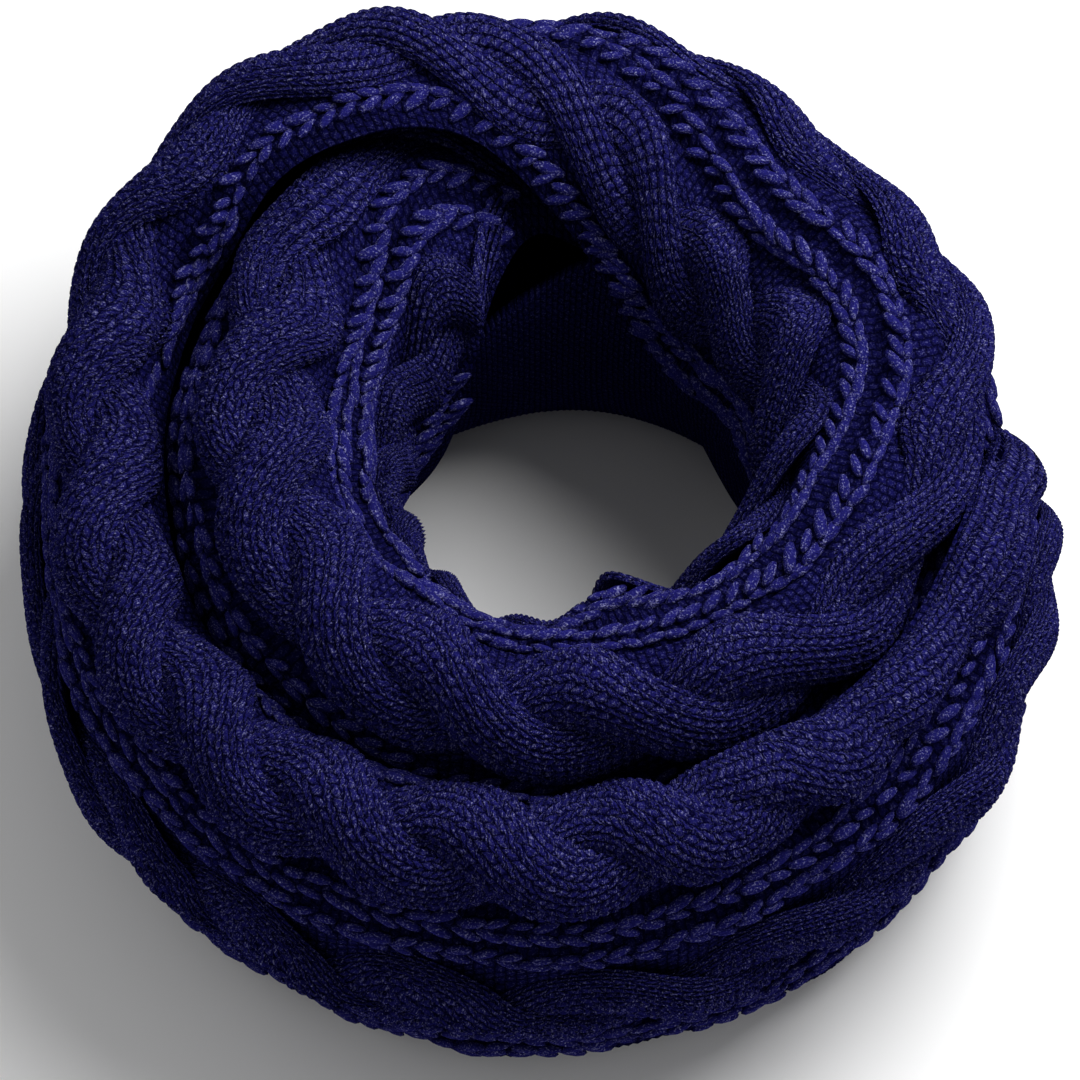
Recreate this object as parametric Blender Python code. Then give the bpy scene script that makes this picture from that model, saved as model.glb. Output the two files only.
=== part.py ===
"""Cable knit infinity scarf, a closed loop of knitting wound twice into a ring that stands on a table.

The ring stands round the Z axis with its underside at z = 0. A turn angle runs anticlockwise
from +X, seen from above, and goes on past 360 degrees as the band winds round again. A section
of the band is an arc of a rounded oval in the upright plane at a turn angle. Section angles
start at the outer side of the ring: 0 is outwards, 90 is up and 180 faces the hole.
"""

import math

import bpy
import numpy as np

MM = 0.001

# The knitting, in millimetres.
WALL_THICKNESS = 5.0
SEAM_GAP = 0.3
LAYER_GAP = 1.4
CABLE_HALF_WIDTH = 25.0
CABLE_CROSSING = 38.0
CABLE_SLANT = 0.55
CABLE_HEIGHT = 8.5
STRAND_FLOOR = 0.15
STRAND_POWER = 0.7
RIB_HEIGHT = 2.4
RIB_PITCH = 10.0
RIBS_BESIDE = 3
CABLE_PITCH = 80.0
DEEPEST_TROUGH = 3.6
CLOSEST_COLUMNS = 1.6
HEM_FADE = 12.0
RELIEF_STARTS = 90.0
RELIEF_ENDS = 740.0
RELIEF_FADE = 20.0
FOLD_FADE_SHARE = 0.2
SHARP_EDGE = 50.0

# Colour and finish of acrylic yarn.
NAVY = (0.013, 0.012, 0.075, 1.0)
INNER_NAVY = (0.006, 0.006, 0.04, 1.0)
YARN_ROUGHNESS = 0.9

# From the middle of the tables' turns to the middle of the whole ring's outline.
RING_SHIFT = (-0.15, -3.70)

# Sections of the band: turn angle, radius and height of the roll's centre, half width, half height,
# outer end, inner end, and the section angle of the first cable. Up to 366 degrees the band lies
# inside, from there to 495 on top, and then outside, until it goes back under itself.
BAND_SECTIONS = (
    (70, 112, 74, 12, 44, 10, 145, 60),
    (80, 108, 74, 18, 52, 5, 130, 56),
    (90, 105, 77, 27, 63, 14, 118, 52),
    (100, 101, 79, 35, 74, 35, 135, 48),
    (110, 100, 81, 41, 81, 32, 160, 48),
    (120, 99, 82, 42, 84, 30, 185, 54),
    (135, 94, 84, 37, 85, 15, 225, 70),
    (150, 90, 87, 35, 89, 10, 262, 83),
    (180, 86, 88, 38, 90, 5, 262, 85),
    (210, 84, 88, 36, 90, 5, 262, 80),
    (240, 84, 88, 32, 90, 10, 262, 68),
    (270, 85, 88, 27, 90, 12, 262, 58),
    (300, 88, 88, 27, 90, 12, 262, 52),
    (330, 95, 88, 29, 90, 8, 262, 47),
    (360, 106, 88, 34, 90, -5, 262, 46),
    (372, 112, 87, 39, 90, -10, 252, 46),
    (382, 114, 87, 42, 91, -55, 235, 47),
    (390, 114, 86, 42, 91, -85, 215, 48),
    (405, 112.5, 86, 39.5, 91, -85, 190, 50),
    (420, 115, 86, 43, 91, -85, 172, 44),
    (435, 119, 87, 48, 92, -85, 150, 33),
    (450, 120, 88, 49, 93, -85, 128, 21),
    (465, 121, 90, 49, 95, -85, 106, 10),
    (480, 129, 90, 47, 95, -85, 104, 4),
    (495, 139, 84, 35, 90, -85, 112, 0),
    (508, 146, 76, 23, 84, -85, 138, -2),
    (520, 143, 73, 25, 81, -85, 133, 0),
    (540, 137, 72, 26, 80, -85, 125, 4),
    (570, 136, 72, 27, 80, -85, 125, 2),
    (600, 132, 72, 26, 80, -85, 129, 0),
    (630, 132, 72, 26, 80, -85, 133, 2),
    (660, 133, 72, 26, 80, -85, 122, 5),
    (690, 138, 72, 26, 80, -85, 106, 14),
    (710, 139, 71, 25, 79, -85, 95, 17),
    (720, 141, 66, 23, 74, -85, 88, 12),
    (727, 144.5, 60, 20, 66, -85, 75, 6),
    (734, 149.5, 54, 15, 58, -85, 58, 0),
    (741, 153, 46, 12, 50, -85, 40, -6),
    (746, 154, 40, 11.5, 44, -85, 25, -12),
)
# The stretch that shows its reverse side inside the hole, in the same columns without the cable.
HOLE_SECTIONS = (
    (25, 125, 76, 41, 80, 215, 252),
    (35, 124, 76, 41, 80, 195, 252),
    (48, 122, 76, 41, 80, 160, 252),
    (60, 120, 76, 41, 80, 140, 252),
    (80, 117, 76, 41, 80, 143, 252),
    (90, 115, 76, 41, 80, 152, 252),
    (100, 113, 76, 41, 80, 160, 252),
    (110, 112, 76, 41, 80, 170, 252),
    (120, 112, 76, 41, 80, 186, 252),
    (130, 112, 76, 41, 80, 210, 252),
    (137, 112, 76, 41, 80, 235, 252),
)
ROUNDNESS = 2.2
SPLITS = (366.0, 495.0)

# Long folds along the band: first and last turn angle, distance from the first cable at each end,
# height, with troughs below zero, and half width.
FOLDS = (
    (140, 250, -25, -25, -3.6, 7),
    (345, 392, 25, 25, -3.6, 7),
    (372, 446, 54, 54, -3.6, 8),
    (150, 235, 27, 34, -3.0, 8),
    (235, 345, 28, 30, -2.6, 7),
    (556, 650, 53, 54, -3.6, 7),
    (640, 712, 56, 50, -3.6, 8),
    (500, 560, 100, 104, -3.0, 7),
    (575, 640, 2, 10, 3.0, 12),
    (590, 700, -24, -18, -3.0, 9),
)
# Single swellings: turn angle, distance from the first cable, half span in degrees, half width, height.
SWELLINGS = (
    (292, 60, 23, 26, 13),
    (463, 62, 14, 22, 5),
)

# Columns of points across each stretch, as distances from the first cable. The ends follow the band.
CABLE_COLUMNS = (-25, -17, -8.5, 0, 8.5, 17, 25)
RIB_COLUMNS = (30, 35, 40, 45, 50)
BAND_COLUMNS = (
    (-92, -72, -55) + tuple(-x for x in reversed(RIB_COLUMNS)) + CABLE_COLUMNS + RIB_COLUMNS
    + tuple(CABLE_PITCH + x for x in CABLE_COLUMNS) + tuple(CABLE_PITCH + x for x in RIB_COLUMNS) + (55 + CABLE_PITCH, 150)
)
HOLE_COLUMNS = (0.0, 0.15, 0.3, 0.45, 0.6, 0.75, 0.88, 1.0)
INNER_STEP = 4
ARC_SAMPLES = 400

# Degrees of turn from one section to the next.
INSIDE_STEP = 5.0
TOP_STEP = 4.6
OUTSIDE_STEP = 4.3
HOLE_STEP = 6.0

# The hidden layers: one rounded core between the walls, found by rays from its middle.
LAYERS_STEP = 6.0
LAYERS_RAYS = 16
LAYERS_LOOK_AROUND = 8.4
LAYERS_LOOKS = 7
LAYERS_CENTRE_HEIGHT = 50.0
LAYERS_CENTRE_RADIUS = 113.0
LAYERS_SWING = 4.0
LAYERS_SWING_TURN = 200.0
LAYERS_OPEN_REACH = 42.0
LAYERS_STEEP = 0.6
WIDEST_FOOT = 24.0
NARROWEST_FOOT = 8.0
FOOT_HEIGHT = 12.0
FOOT_GAP = 3.0
LAYERS_TOP = 88.0


def clear_scene():
    for old in list(bpy.data.objects):
        bpy.data.objects.remove(old, do_unlink=True)


def yarn(name, colour):
    material = bpy.data.materials.new(name)
    material.use_nodes = True
    shader = material.node_tree.nodes["Principled BSDF"]
    shader.inputs["Base Color"].default_value = colour
    shader.inputs["Roughness"].default_value = YARN_ROUGHNESS
    shader.inputs["Metallic"].default_value = 0.0
    return material


def read_sections(table, turn):
    """Each column of a section table at a turn angle, on a smooth curve through the rows."""
    rows = np.array(table, float)
    angles = rows[:, 0]
    row = int(np.clip(np.searchsorted(angles, turn) - 1, 0, len(angles) - 2))
    span = angles[row + 1] - angles[row]
    s = np.clip((turn - angles[row]) / span, 0.0, 1.0)
    slopes = np.gradient(rows[:, 1:], angles, axis=0)
    return (
        (2 * s**3 - 3 * s**2 + 1) * rows[row, 1:]
        + (s**3 - 2 * s**2 + s) * span * slopes[row]
        + (3 * s**2 - 2 * s**3) * rows[row + 1, 1:]
        + (s**3 - s**2) * span * slopes[row + 1]
    )


def oval(values, degrees, inset=0.0):
    """Radius and height on the roll's oval at section angles, with the oval drawn in by inset."""
    centre_radius, centre_height, half_width, half_height = values[:4]
    c = np.cos(np.radians(degrees))
    s = np.sin(np.radians(degrees))
    radius = centre_radius + (half_width - inset) * np.sign(c) * np.abs(c) ** (2 / ROUNDNESS)
    height = centre_height + (half_height - inset) * np.sign(s) * np.abs(s) ** (2 / ROUNDNESS)
    return np.stack([radius, height], axis=-1)


def distance_scale(values, cable):
    """Distances along the oval from the cable, at each degree between the band's two ends."""
    outer_end, inner_end = values[4:6]
    degrees = np.linspace(outer_end, inner_end, ARC_SAMPLES)
    points = oval(values, degrees)
    steps = np.hypot(*np.diff(points, axis=0).T)
    distance = np.concatenate([[0.0], np.cumsum(steps)])
    return degrees, distance - np.interp(cable, degrees, distance)


def spread_columns(columns, lowest, highest):
    """The columns drawn together where the band is narrow, with the two ends added."""
    wanted = np.array((-1e6,) + tuple(columns) + (1e6,))
    order = np.arange(len(wanted))
    first = lowest + order * CLOSEST_COLUMNS
    last = highest - order[::-1] * CLOSEST_COLUMNS
    return np.clip(wanted, first, last)


def rope_cable(along, across):
    """Height of a two-strand rope cable, whose strands cross every CABLE_CROSSING."""
    x = np.clip(across / CABLE_HALF_WIDTH, -1.0, 1.0)
    crown = np.sqrt(1.0 - x**2)
    phase = along / CABLE_CROSSING + CABLE_SLANT * x
    strand = np.abs(np.sin(math.pi * phase)) ** STRAND_POWER
    return CABLE_HEIGHT * crown * (STRAND_FLOOR + (1.0 - STRAND_FLOOR) * strand)


def ribs(across):
    """Height of the slip stitch ribs beside a cable."""
    beside = np.abs(across) - CABLE_HALF_WIDTH
    beside = np.where(across > CABLE_PITCH, across - CABLE_PITCH - CABLE_HALF_WIDTH, beside)
    inside = (beside > 0) & (beside < RIBS_BESIDE * RIB_PITCH)
    wave = 0.5 - 0.5 * np.cos(2 * math.pi * beside / RIB_PITCH)
    return np.where(inside, RIB_HEIGHT * wave, 0.0)


def bell(x):
    """A smooth hump, 1 at 0 and 0 beyond 1."""
    x = np.clip(np.abs(x), 0.0, 1.0)
    return 0.5 + 0.5 * np.cos(math.pi * x)


def folds(turn, across):
    height = np.zeros_like(across)
    for first, last, start, end, rise, half_width in FOLDS:
        share = (turn - first) / (last - first)
        if not 0.0 < share < 1.0:
            continue
        place = start + (end - start) * share
        fade = min(1.0, share / FOLD_FADE_SHARE, (1.0 - share) / FOLD_FADE_SHARE)
        height += rise * fade * bell((across - place) / half_width)
    return height


def swellings(turn, across):
    height = np.zeros_like(across)
    for centre, place, half_span, half_width, rise in SWELLINGS:
        height += rise * bell((turn - centre) / half_span) * bell((across - place) / half_width)
    return height


def path_distances():
    """How far the band has run, in millimetres, at each whole degree from its first section on."""
    turns = np.arange(BAND_SECTIONS[0][0], BAND_SECTIONS[-1][0] + 1)
    radii = np.array([read_sections(BAND_SECTIONS, turn)[0] for turn in turns])
    return turns, np.cumsum(radii) * math.radians(1)


PATH_TURNS, PATH_DISTANCES = path_distances()


def knit_section(turn):
    """Outer points with their relief, and plain inner points, of the band at a turn angle."""
    values = read_sections(BAND_SECTIONS, turn)
    degrees, distance = distance_scale(values, values[6])
    across = spread_columns(BAND_COLUMNS, distance[0], distance[-1])
    at = np.interp(across, distance, degrees)
    base = oval(values, at)
    ahead = oval(values, at + 0.5) - oval(values, at - 0.5)
    normal = np.stack([ahead[:, 1], -ahead[:, 0]], axis=-1)
    normal /= np.linalg.norm(normal, axis=1)[:, None]
    along = np.interp(turn, PATH_TURNS, PATH_DISTANCES)
    relief = rope_cable(along, across) + rope_cable(along, across - CABLE_PITCH) + ribs(across)
    low = folds(turn, across) + swellings(turn, across)
    ends = np.minimum(1.0, np.minimum(across - across[0], across[-1] - across) / HEM_FADE)
    ends *= np.clip(min(turn - RELIEF_STARTS, RELIEF_ENDS - turn) / RELIEF_FADE, 0.0, 1.0)
    outer = base + normal * (np.maximum(relief + low, -DEEPEST_TROUGH) * ends)[:, None]
    kept = sorted(set(range(0, len(at), INNER_STEP)) | {len(at) - 1})
    inner = oval(values, at[kept], inset=WALL_THICKNESS)
    return on_the_floor(outer, 0.0), on_the_floor(inner, WALL_THICKNESS)


def hole_section(turn):
    """Outer and inner points of the plain wall inside the hole at a turn angle."""
    values = read_sections(HOLE_SECTIONS, turn)
    degrees = values[4] + (values[5] - values[4]) * np.array(HOLE_COLUMNS)
    kept = list(range(0, len(degrees), 2)) + [len(degrees) - 1]
    outer = oval(values, degrees)
    inner = oval(values, degrees[kept], inset=WALL_THICKNESS)
    return on_the_floor(outer, 0.0), on_the_floor(inner, WALL_THICKNESS)


def on_the_floor(points, lowest):
    """Section points with none below a height."""
    held = points.copy()
    held[:, 1] = np.maximum(held[:, 1], lowest)
    return held


def stand_up(points, turn):
    """Section points in the upright plane at a turn angle, in metres."""
    angle = math.radians(turn)
    x = points[:, 0] * math.cos(angle) + RING_SHIFT[0]
    y = points[:, 0] * math.sin(angle) + RING_SHIFT[1]
    return np.stack([x, y, points[:, 1]], axis=-1) * MM


def loft(name, rings, closed, material, collection):
    """A closed solid through rings of points, capped at its ends where it isn't a whole ring."""
    count = len(rings[0])
    points = np.concatenate(rings)
    faces = []
    last = len(rings) if closed else len(rings) - 1
    for i in range(last):
        a = i * count
        b = (i + 1) % len(rings) * count
        for j in range(count):
            k = (j + 1) % count
            faces.append((a + j, b + j, b + k, a + k))
    if not closed:
        faces.append(tuple(range(count)))
        faces.append(tuple(reversed(range(len(points) - count, len(points)))))
    mesh = bpy.data.meshes.new(name)
    mesh.from_pydata(points.tolist(), [], faces)
    mesh.materials.append(material)
    mesh.validate()
    mesh.shade_smooth()
    mesh.set_sharp_from_angle(angle=math.radians(SHARP_EDGE))
    solid = bpy.data.objects.new(name, mesh)
    collection.objects.link(solid)
    return solid


def stretch_solid(name, first, last, step, section, material, collection):
    stations = np.linspace(first, last, 1 + round((last - first) / step))
    rings = []
    for turn in stations:
        outer, inner = section(turn)
        rings.append(stand_up(np.concatenate([outer, inner[::-1]]), turn))
    return loft(name, rings, False, material, collection)


def walls_at(turn):
    """The closed outlines of every wall in the upright plane at an angle from 0 to 360."""
    found = []
    for table, section in ((BAND_SECTIONS, knit_section), (HOLE_SECTIONS, hole_section)):
        for whole_turns in (0, 360, 720):
            at = turn + whole_turns
            if table[0][0] <= at <= table[-1][0]:
                outer, inner = section(at)
                found.append(np.concatenate([outer, inner[::-1]]))
    return found


def clear_reach(centre, direction, outlines):
    """How far a ray goes from the centre before it meets an outline."""
    reach = math.inf
    for outline in outlines:
        a = outline
        edge = np.roll(outline, -1, axis=0) - a
        to_a = a - centre
        cross = direction[0] * edge[:, 1] - direction[1] * edge[:, 0]
        safe = np.where(np.abs(cross) < 1e-9, 1.0, cross)
        distance = (to_a[:, 0] * edge[:, 1] - to_a[:, 1] * edge[:, 0]) / safe
        share = (to_a[:, 0] * direction[1] - to_a[:, 1] * direction[0]) / safe
        hit = (np.abs(cross) > 1e-9) & (share >= -0.02) & (share <= 1.02) & (distance > 0)
        if hit.any():
            reach = min(reach, distance[hit].min() - LAYER_GAP)
    return reach


def least_reach(centre, angle, near):
    """The shortest clear reach round one angle, so that the faces between rays stay clear too."""
    spread = math.radians(360.0 / LAYERS_RAYS)
    found = []
    for turned in np.linspace(angle - spread, angle + spread, LAYERS_LOOKS):
        direction = np.array([math.cos(turned), math.sin(turned)])
        found.extend(clear_reach(centre, direction, outlines) for outlines in near)
    return min(found)


def floor_reach(centre, angle):
    """How far a ray goes down to the floor. One that isn't steep stops in the open."""
    down = -math.sin(angle)
    return centre[1] / down if down > LAYERS_STEEP else LAYERS_OPEN_REACH


def free_floor(centre_radius, near):
    """The inner and outer radius between which no wall stands near the floor."""
    inner, outer = centre_radius - WIDEST_FOOT, centre_radius + WIDEST_FOOT
    for outlines in near:
        for outline in outlines:
            radii = outline[outline[:, 1] < FOOT_HEIGHT, 0]
            inside = radii[radii < centre_radius]
            outside = radii[radii >= centre_radius]
            inner = max([inner] + [radius + FOOT_GAP for radius in inside])
            outer = min([outer] + [radius - FOOT_GAP for radius in outside])
    return inner, outer


def layer_rings():
    """Rings of the hidden layers, which fill the space inside the walls and stand flat on the floor."""
    stations = np.arange(0.0, 360.0, LAYERS_STEP)
    angles = np.radians(np.arange(LAYERS_RAYS) * 360.0 / LAYERS_RAYS - 90.0)
    directions = np.stack([np.cos(angles), np.sin(angles)], axis=-1)
    rings = []
    for turn in stations:
        around = turn + np.linspace(-LAYERS_LOOK_AROUND, LAYERS_LOOK_AROUND, LAYERS_LOOKS)
        near = [walls_at(look % 360) for look in around]
        centre = np.array([layer_centre(turn), LAYERS_CENTRE_HEIGHT])
        reaches = [least_reach(centre, angle, near) for angle in angles]
        reaches = [
            min(reach, floor_reach(centre, angle)) if math.sin(angle) < -LAYERS_STEEP or math.isinf(reach) else reach
            for reach, angle in zip(reaches, angles)
        ]
        points = centre + directions * np.array(reaches)[:, None]
        points[:, 1] = np.clip(points[:, 1], 0.0, LAYERS_TOP)
        foot = free_floor(centre[0], near)
        if foot[1] - foot[0] > NARROWEST_FOOT:
            points[[-1, 0, 1]] = [(foot[0], 0.0), (sum(foot) / 2, 0.0), (foot[1], 0.0)]
        rings.append(stand_up(points, turn))
    return rings


def layer_centre(turn):
    """Radius of the middle of the hidden layers, which swings a little round the ring."""
    return LAYERS_CENTRE_RADIUS - LAYERS_SWING * math.cos(math.radians(turn - LAYERS_SWING_TURN))


def make_scarf():
    clear_scene()
    collection = bpy.data.collections.new("cable_knit_scarf")
    bpy.context.scene.collection.children.link(collection)
    navy = yarn("navy_yarn", NAVY)
    seams = [math.degrees(SEAM_GAP / 2 / read_sections(BAND_SECTIONS, split)[0]) for split in SPLITS]
    first, last = BAND_SECTIONS[0][0], BAND_SECTIONS[-1][0]
    stretches = (
        ("inner_stretch", first, SPLITS[0] - seams[0], INSIDE_STEP, knit_section),
        ("top_stretch", SPLITS[0] + seams[0], SPLITS[1] - seams[1], TOP_STEP, knit_section),
        ("outer_stretch", SPLITS[1] + seams[1], last, OUTSIDE_STEP, knit_section),
        ("hole_stretch", HOLE_SECTIONS[0][0], HOLE_SECTIONS[-1][0], HOLE_STEP, hole_section),
    )
    for name, start, end, step, section in stretches:
        stretch_solid(name, start, end, step, section, navy, collection)
    loft("hidden_layers", layer_rings(), True, yarn("inner_navy_yarn", INNER_NAVY), collection)


make_scarf()
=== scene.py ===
"""The looks of the cable knit infinity scarf: every stretch of the band as knitting, with its rope
cables, slip stitch ribs and eyelets, on a pale table in soft light.

Distances are in millimetres until a mesh is made. A turn angle runs anticlockwise round the ring
from +X and goes on past 360 degrees. Across is the distance from the first cable, towards the hole.
Along is how far the band has run.
"""

import math

import bmesh
import bpy
import numpy as np
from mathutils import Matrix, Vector


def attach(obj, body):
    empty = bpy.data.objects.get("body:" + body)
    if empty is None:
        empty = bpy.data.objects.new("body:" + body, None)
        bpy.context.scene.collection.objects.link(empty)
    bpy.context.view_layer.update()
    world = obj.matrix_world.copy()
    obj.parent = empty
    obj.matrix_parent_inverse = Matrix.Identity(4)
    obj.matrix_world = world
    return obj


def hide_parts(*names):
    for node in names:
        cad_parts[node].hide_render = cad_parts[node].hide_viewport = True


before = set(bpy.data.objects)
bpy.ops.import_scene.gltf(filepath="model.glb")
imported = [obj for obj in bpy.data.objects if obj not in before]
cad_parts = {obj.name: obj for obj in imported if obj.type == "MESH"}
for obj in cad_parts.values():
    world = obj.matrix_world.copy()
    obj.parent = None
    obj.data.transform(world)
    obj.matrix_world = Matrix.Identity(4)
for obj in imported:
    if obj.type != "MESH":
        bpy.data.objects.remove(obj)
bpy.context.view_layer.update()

MM = 0.001

# The knitting.
WALL_THICKNESS = 5.0
STITCH_WIDTH = 3.7
STITCH_LENGTH = 2.9
STITCH_RELIEF = 1.3
STITCH_SLANT = 1.0
ROW_STEP = 2.9 / 3
GROUND_STEP = 2.9 / 2
CABLE_HALF_WIDTH = 25.0
CABLE_CROSSING = 47.0
CABLE_PITCH = 80.0
STRAND_SWING = 12.0
STRAND_HALF_WIDTH = 13.2
STRAND_HEIGHT = 5.8
STRAND_LIFT = 3.2
STRAND_STITCHES = 9
STRAND_FOOT = 1.5
STRAND_FOOT_WIDTH = 0.6
STRAND_UNEVENNESS = 0.07
STRAND_WAVE = 47.0
STRAND_SWELL = 0.08
STRAND_ARCH = 0.85
RIB_PITCH = 15.0
RIBS_BESIDE = 2
RIB_RIDGE = 1.2
GUTTER_DEPTH = 3.0
RIB_COLUMNS = 6
RIB_STITCH_LENGTH = 7.3
RIB_STITCH_SPREAD = 2.0
RIB_STITCH_SLANT = 21.0
RIB_STITCH_SIZE = (10.6, 3.9, 3.4)
RIB_STITCH_UNEVENNESS = 0.2
RIB_STITCH_STRAY = 0.5
RIB_STITCH_TILT = 0.16
RIB_STITCH_SEED = 7
RIB_OFFSET = 0.37
LEG_OFFSET = 0.08
RIB_TO_HEM = 11.0
HEM_RIB_STARTS = 400.0
EYELET_DEPTH = 2.5
EYELET_RADIUS = 2.3
EYELET_SPACING = 14.6
PURL_RELIEF = 0.6

# Painted shade: how much of the lit colour each kind of ground keeps, for how open it is to light, and how
# far across the band it is knitted.
GUTTER_PAINTED_LIGHT = 0.35
PURL_PAINTED_LIGHT = 0.6
BAND_REACH = (-102.0, 152.0)

# The yarn. Fibres a stitch are counted across a column of stitches and along it.
PATCH_SIZE = 16.0
PATCH_VALUES = (0.6, 0.7)
LOOSE_SIZE = 2.4
LOOSENESS = 0.5
SPECK_SIZE = 0.65
FIBRE_RELIEF = 1.3
# Fibre streaks set the bump and also vary the painted shade on the stitches.
FIBRE_CONTRAST = 1.6
FIBRE_SHADE = -0.05
# Painted highlight: fibres paler than the first value are painted towards the glint colour, more strongly
# by the second.
PAINTED_GLINT_ABOVE = 0.53
PAINTED_GLINT_GAIN = 5.0
BUMP_DEPTH = 1.1
FIBRES_A_STITCH = {"leg": (14.0, 3.0), "plain": (3.0, 8.0), "purl": (8.0, 4.0)}

# The cloth.
DEEPEST_TROUGH = 7.0
CLOSEST_COLUMNS = 0.12
HEM_FADE = 12.0
RELIEF_STARTS = 90.0
RELIEF_ENDS = 740.0
RELIEF_FADE = 20.0
FOLD_FADE_SHARE = 0.2
FOLD_DEEPENING = 1.7

# From the middle of the tables' turns to the middle of the whole ring's outline.
RING_SHIFT = (-0.15, -3.70)
ROUNDNESS = 2.2
ARC_SAMPLES = 300

# Sections of the band: turn angle, radius and height of the roll's centre, half width, half height,
# outer end, inner end, and the section angle of the first cable.
BAND_SECTIONS = (
    (70, 112, 74, 12, 44, 10, 145, 60),
    (80, 108, 74, 18, 52, 5, 130, 56),
    (90, 105, 77, 27, 63, 14, 118, 52),
    (100, 101, 79, 35, 74, 35, 135, 48),
    (110, 100, 81, 41, 81, 32, 160, 48),
    (120, 99, 82, 42, 84, 30, 185, 54),
    (135, 94, 84, 37, 85, 15, 225, 70),
    (150, 90, 87, 35, 89, 10, 262, 83),
    (180, 86, 88, 38, 90, 5, 262, 85),
    (210, 84, 88, 36, 90, 5, 262, 80),
    (240, 84, 88, 32, 90, 10, 262, 68),
    (270, 85, 88, 27, 90, 12, 262, 58),
    (300, 88, 88, 27, 90, 12, 262, 52),
    (330, 95, 88, 29, 90, 8, 262, 47),
    (360, 106, 88, 34, 90, -5, 262, 46),
    (372, 112, 87, 39, 90, -10, 252, 46),
    (382, 114, 87, 42, 91, -55, 235, 47),
    (390, 114, 86, 42, 91, -85, 215, 48),
    (405, 112.5, 86, 39.5, 91, -85, 190, 50),
    (420, 115, 86, 43, 91, -85, 172, 44),
    (435, 119, 87, 48, 92, -85, 150, 33),
    (450, 120, 88, 49, 93, -85, 128, 21),
    (465, 121, 90, 49, 95, -85, 106, 10),
    (480, 129, 90, 47, 95, -85, 104, 4),
    (495, 139, 84, 35, 90, -85, 112, 0),
    (508, 146, 76, 23, 84, -85, 138, -2),
    (520, 143, 73, 25, 81, -85, 133, 0),
    (540, 137, 72, 26, 80, -85, 125, 4),
    (570, 136, 72, 27, 80, -85, 125, 2),
    (600, 132, 72, 26, 80, -85, 129, 0),
    (630, 132, 72, 26, 80, -85, 133, 2),
    (660, 133, 72, 26, 80, -85, 122, 5),
    (690, 138, 72, 26, 80, -85, 106, 14),
    (710, 139, 71, 25, 79, -85, 95, 17),
    (720, 141, 66, 23, 74, -85, 88, 12),
    (727, 144.5, 60, 20, 66, -85, 75, 6),
    (734, 149.5, 54, 15, 58, -85, 58, 0),
    (741, 153, 46, 12, 50, -85, 40, -6),
    (746, 154, 40, 11.5, 44, -85, 25, -12),
)
HOLE_SECTIONS = (
    (25, 125, 76, 41, 80, 215, 252),
    (35, 124, 76, 41, 80, 195, 252),
    (48, 122, 76, 41, 80, 160, 252),
    (60, 120, 76, 41, 80, 140, 252),
    (80, 117, 76, 41, 80, 143, 252),
    (90, 115, 76, 41, 80, 152, 252),
    (100, 113, 76, 41, 80, 160, 252),
    (110, 112, 76, 41, 80, 170, 252),
    (120, 112, 76, 41, 80, 186, 252),
    (130, 112, 76, 41, 80, 210, 252),
    (137, 112, 76, 41, 80, 235, 252),
)
SPLITS = (366.0, 495.0)
TUCK_STARTS = 726.0
TUCK_DEPTH = 8.0

# Long folds along the band: first and last turn angle, distance from the first cable at each end,
# height, with troughs below zero, and half width.
FOLDS = (
    (140, 250, -25, -25, -3.6, 7),
    (345, 392, 25, 25, -3.6, 7),
    (372, 446, 54, 54, -3.6, 8),
    (150, 235, 27, 34, -3.0, 8),
    (235, 345, 28, 30, -2.6, 7),
    (556, 650, 53, 54, -3.6, 7),
    (640, 712, 56, 50, -3.6, 8),
    (500, 560, 100, 104, -3.0, 7),
    (575, 640, 2, 10, 3.0, 12),
    (590, 700, -24, -18, -3.0, 9),
)
# Single swellings: turn angle, distance from the first cable, half span in degrees, half width, height.
SWELLINGS = (
    (292, 60, 23, 26, 13),
    (463, 62, 14, 22, 5),
)

# Slow unevenness: waves a metre along and across, phase, and height.
UNEVENNESS = (
    (11.0, 7.0, 0.4, 0.7),
    (19.0, -13.0, 2.1, 0.5),
    (31.0, 17.0, 4.4, 0.35),
)


# The stage, in metres, watts and millimetres of lens. A light has a place, a width and a power.
FLOOR_HALF = 4.0
ROOM_LIGHT = 0.36
LIGHTS = (
    ("key", (0.42, 0.3, 0.95), 0.8, 16.0),
    ("fill", (-1.3, 0.3, 1.6), 1.2, 3.0),
)
LIGHTS_AIM = (0, 0, 0.1)
CAMERA_ELEVATION = 64.0
CAMERA_DISTANCE = 2.0
CAMERA_AIM_HEIGHT = 0.09
CAMERA_SENSOR = 36.0
CAMERA_LENS = 202.0


def srgb(code, alpha=1.0):
    """A linear colour from a hex code such as 1d1d59."""
    parts = [int(code[i:i + 2], 16) / 255 for i in (0, 2, 4)]
    return tuple(c / 12.92 if c <= 0.04045 else ((c + 0.055) / 1.055) ** 2.4 for c in parts) + (alpha,)


def read_sections(table, turns):
    """Each column of a section table at each turn angle, on a smooth curve through the rows."""
    rows = np.array(table, float)
    angles = rows[:, 0]
    turns = np.atleast_1d(turns)
    row = np.clip(np.searchsorted(angles, turns) - 1, 0, len(angles) - 2)
    span = (angles[row + 1] - angles[row])[:, None]
    s = np.clip((turns - angles[row])[:, None] / span, 0.0, 1.0)
    slopes = np.gradient(rows[:, 1:], angles, axis=0)
    return (
        (2 * s**3 - 3 * s**2 + 1) * rows[row, 1:]
        + (s**3 - 2 * s**2 + s) * span * slopes[row]
        + (3 * s**2 - 2 * s**3) * rows[row + 1, 1:]
        + (s**3 - s**2) * span * slopes[row + 1]
    )


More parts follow.
